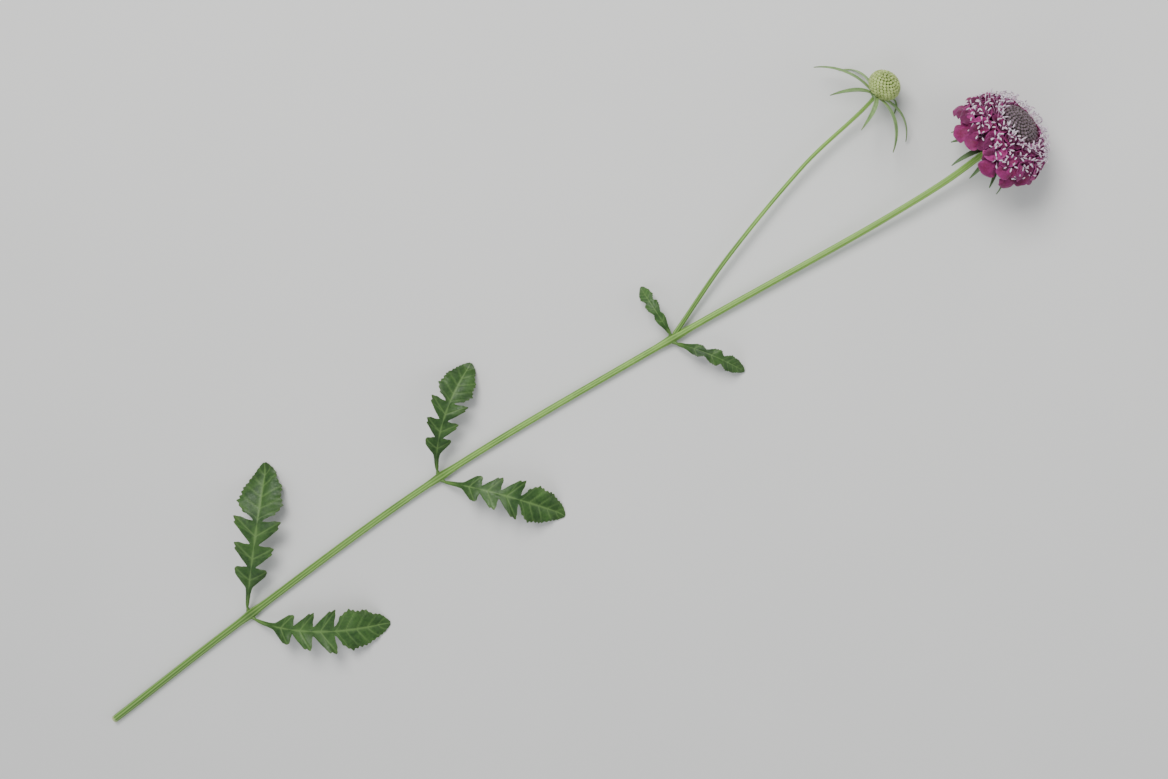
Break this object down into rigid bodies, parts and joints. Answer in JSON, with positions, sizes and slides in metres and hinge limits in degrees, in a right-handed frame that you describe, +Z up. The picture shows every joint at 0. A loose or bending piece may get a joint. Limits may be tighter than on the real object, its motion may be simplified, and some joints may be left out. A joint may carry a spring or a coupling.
{
  "type": "scabiosa flower",
  "caption": "Cut stem of a full-headed garden scabious lying on its side: dark purple domed flower head, slender ribbed stem with lobed leaves, and a side shoot with a green bud.",
  "frame": {"origin": "centre of the bounding box in plan, on the surface that the stem lies on", "axes": "+X runs along the stem from its cut end to the flower head, +Y towards the side shoot, +Z up from the surface"},
  "size_m": [0.6502, 0.1325, 0.0494],
  "materials": {
    "petal": "matte",
    "centre": "matte",
    "bud_green": "matte",
    "stem_green": "matte",
    "bract_green": "matte",
    "leaf_green": "matte"
  },
  "bodies": {
    "root": {"bloom": "petal", "bud": "bud_green", "bud_bracts": "bract_green", "centre_buds": "centre", "involucre": "bract_green", "leaf_lower_left": "leaf_green", "leaf_lower_right": "leaf_green", "leaf_middle_left": "leaf_green", "leaf_middle_right": "leaf_green", "leaf_upper_left": "leaf_green", "leaf_upper_right": "leaf_green", "side_shoot": "stem_green", "stem": "stem_green"}
  },
  "joints": []
}
